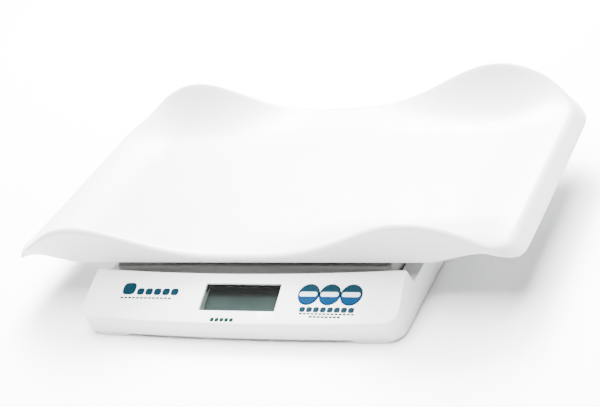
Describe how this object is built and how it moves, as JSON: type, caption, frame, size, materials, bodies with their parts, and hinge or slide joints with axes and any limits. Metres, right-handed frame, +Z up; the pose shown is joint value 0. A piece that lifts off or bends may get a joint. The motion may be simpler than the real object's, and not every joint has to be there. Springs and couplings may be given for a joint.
{
  "type": "tray weighing scale",
  "caption": "Digital scale for infants or small animals: wavy lift-off tray on a sprung platform, base with a sloping console, display window and round keys.",
  "frame": {"origin": "centre of the bounding box, on the floor that the feet rest on", "axes": "+X along the tray, console faces -Y, +Z up"},
  "size_m": [0.547, 0.3402, 0.0979],
  "materials": {
    "white_abs": "smooth moulded white, soft gloss",
    "mid_grey_abs": "moulded, fine grain",
    "grey_rubber": "matt",
    "plated_steel": "zinc plated",
    "machined_aluminium": "milled",
    "sealant": "matt",
    "grey_pvc": "matt",
    "clear_acrylic": "clear",
    "grey_abs": "fine grain",
    "lcd_glass": "grey-green display, unlit",
    "board_green": "solder mask",
    "black_nylon": "matt",
    "dark_abs": "matt",
    "battery_wrap": "plain sleeve",
    "blue_key": "printed blue"
  },
  "bodies": {
    "base": {"base_cover": "white_abs", "base_plate": "white_abs", "foot_1": "grey_rubber", "foot_2": "grey_rubber", "foot_3": "grey_rubber", "foot_4": "grey_rubber", "cell_spacer_base": "plated_steel", "cell_screw_base_1": "plated_steel", "cell_screw_base_2": "plated_steel", "case_screw_1": "plated_steel", "case_screw_2": "plated_steel", "case_screw_3": "plated_steel", "case_screw_4": "plated_steel", "case_screw_5": "plated_steel", "case_screw_6": "plated_steel", "battery_contact_left": "plated_steel", "battery_contact_right": "plated_steel", "load_cell": "machined_aluminium", "gauge_cover": "sealant", "cell_cable": "grey_pvc", "lcd_window": "clear_acrylic", "lcd_holder": "grey_abs", "lcd_panel": "lcd_glass", "main_board": "board_green", "switch_1": "black_nylon", "switch_2": "black_nylon", "switch_3": "black_nylon", "battery_box": "dark_abs", "battery_1": "battery_wrap", "battery_2": "battery_wrap", "battery_3": "battery_wrap", "battery_4": "battery_wrap"},
    "platform": {"platform_cover": "mid_grey_abs", "platform_bracket": "plated_steel", "platform_screw_1": "plated_steel", "platform_screw_2": "plated_steel", "platform_screw_3": "plated_steel", "platform_screw_4": "plated_steel", "cell_spacer_top": "plated_steel", "cell_screw_top_1": "plated_steel", "cell_screw_top_2": "plated_steel"},
    "tray": {"tray": "white_abs", "tray_stud_1": "grey_rubber", "tray_stud_2": "grey_rubber", "tray_stud_3": "grey_rubber", "tray_stud_4": "grey_rubber"},
    "battery_door": {"battery_door": "white_abs"},
    "button_hold": {"button_hold": "blue_key"},
    "button_tare": {"button_tare": "blue_key"},
    "button_power": {"button_power": "blue_key"}
  },
  "joints": [
    {"name": "platform_press", "type": "slide", "parent": "base", "child": "platform", "axis": [0, 0, -1], "range_m": [0, 0.00025], "stiffness_N_per_m": 300000},
    {"name": "tray_lift", "type": "slide", "parent": "platform", "child": "tray", "axis": [0, 0, 1], "range_m": [0, 0.08]},
    {"name": "battery_door_slide", "type": "slide", "parent": "base", "child": "battery_door", "axis": [-1, 0, 0], "range_m": [0, 0.058]},
    {"name": "button_hold_press", "type": "slide", "parent": "base", "child": "button_hold", "axis": [0, 0.3931, -0.9195], "range_m": [0, 0.0005], "stiffness_N_per_m": 1200, "springref_m": -0.0005},
    {"name": "button_tare_press", "type": "slide", "parent": "base", "child": "button_tare", "axis": [0, 0.3931, -0.9195], "range_m": [0, 0.0005], "stiffness_N_per_m": 1200, "springref_m": -0.0005},
    {"name": "button_power_press", "type": "slide", "parent": "base", "child": "button_power", "axis": [0, 0.3931, -0.9195], "range_m": [0, 0.0005], "stiffness_N_per_m": 1200, "springref_m": -0.0005}
  ]
}
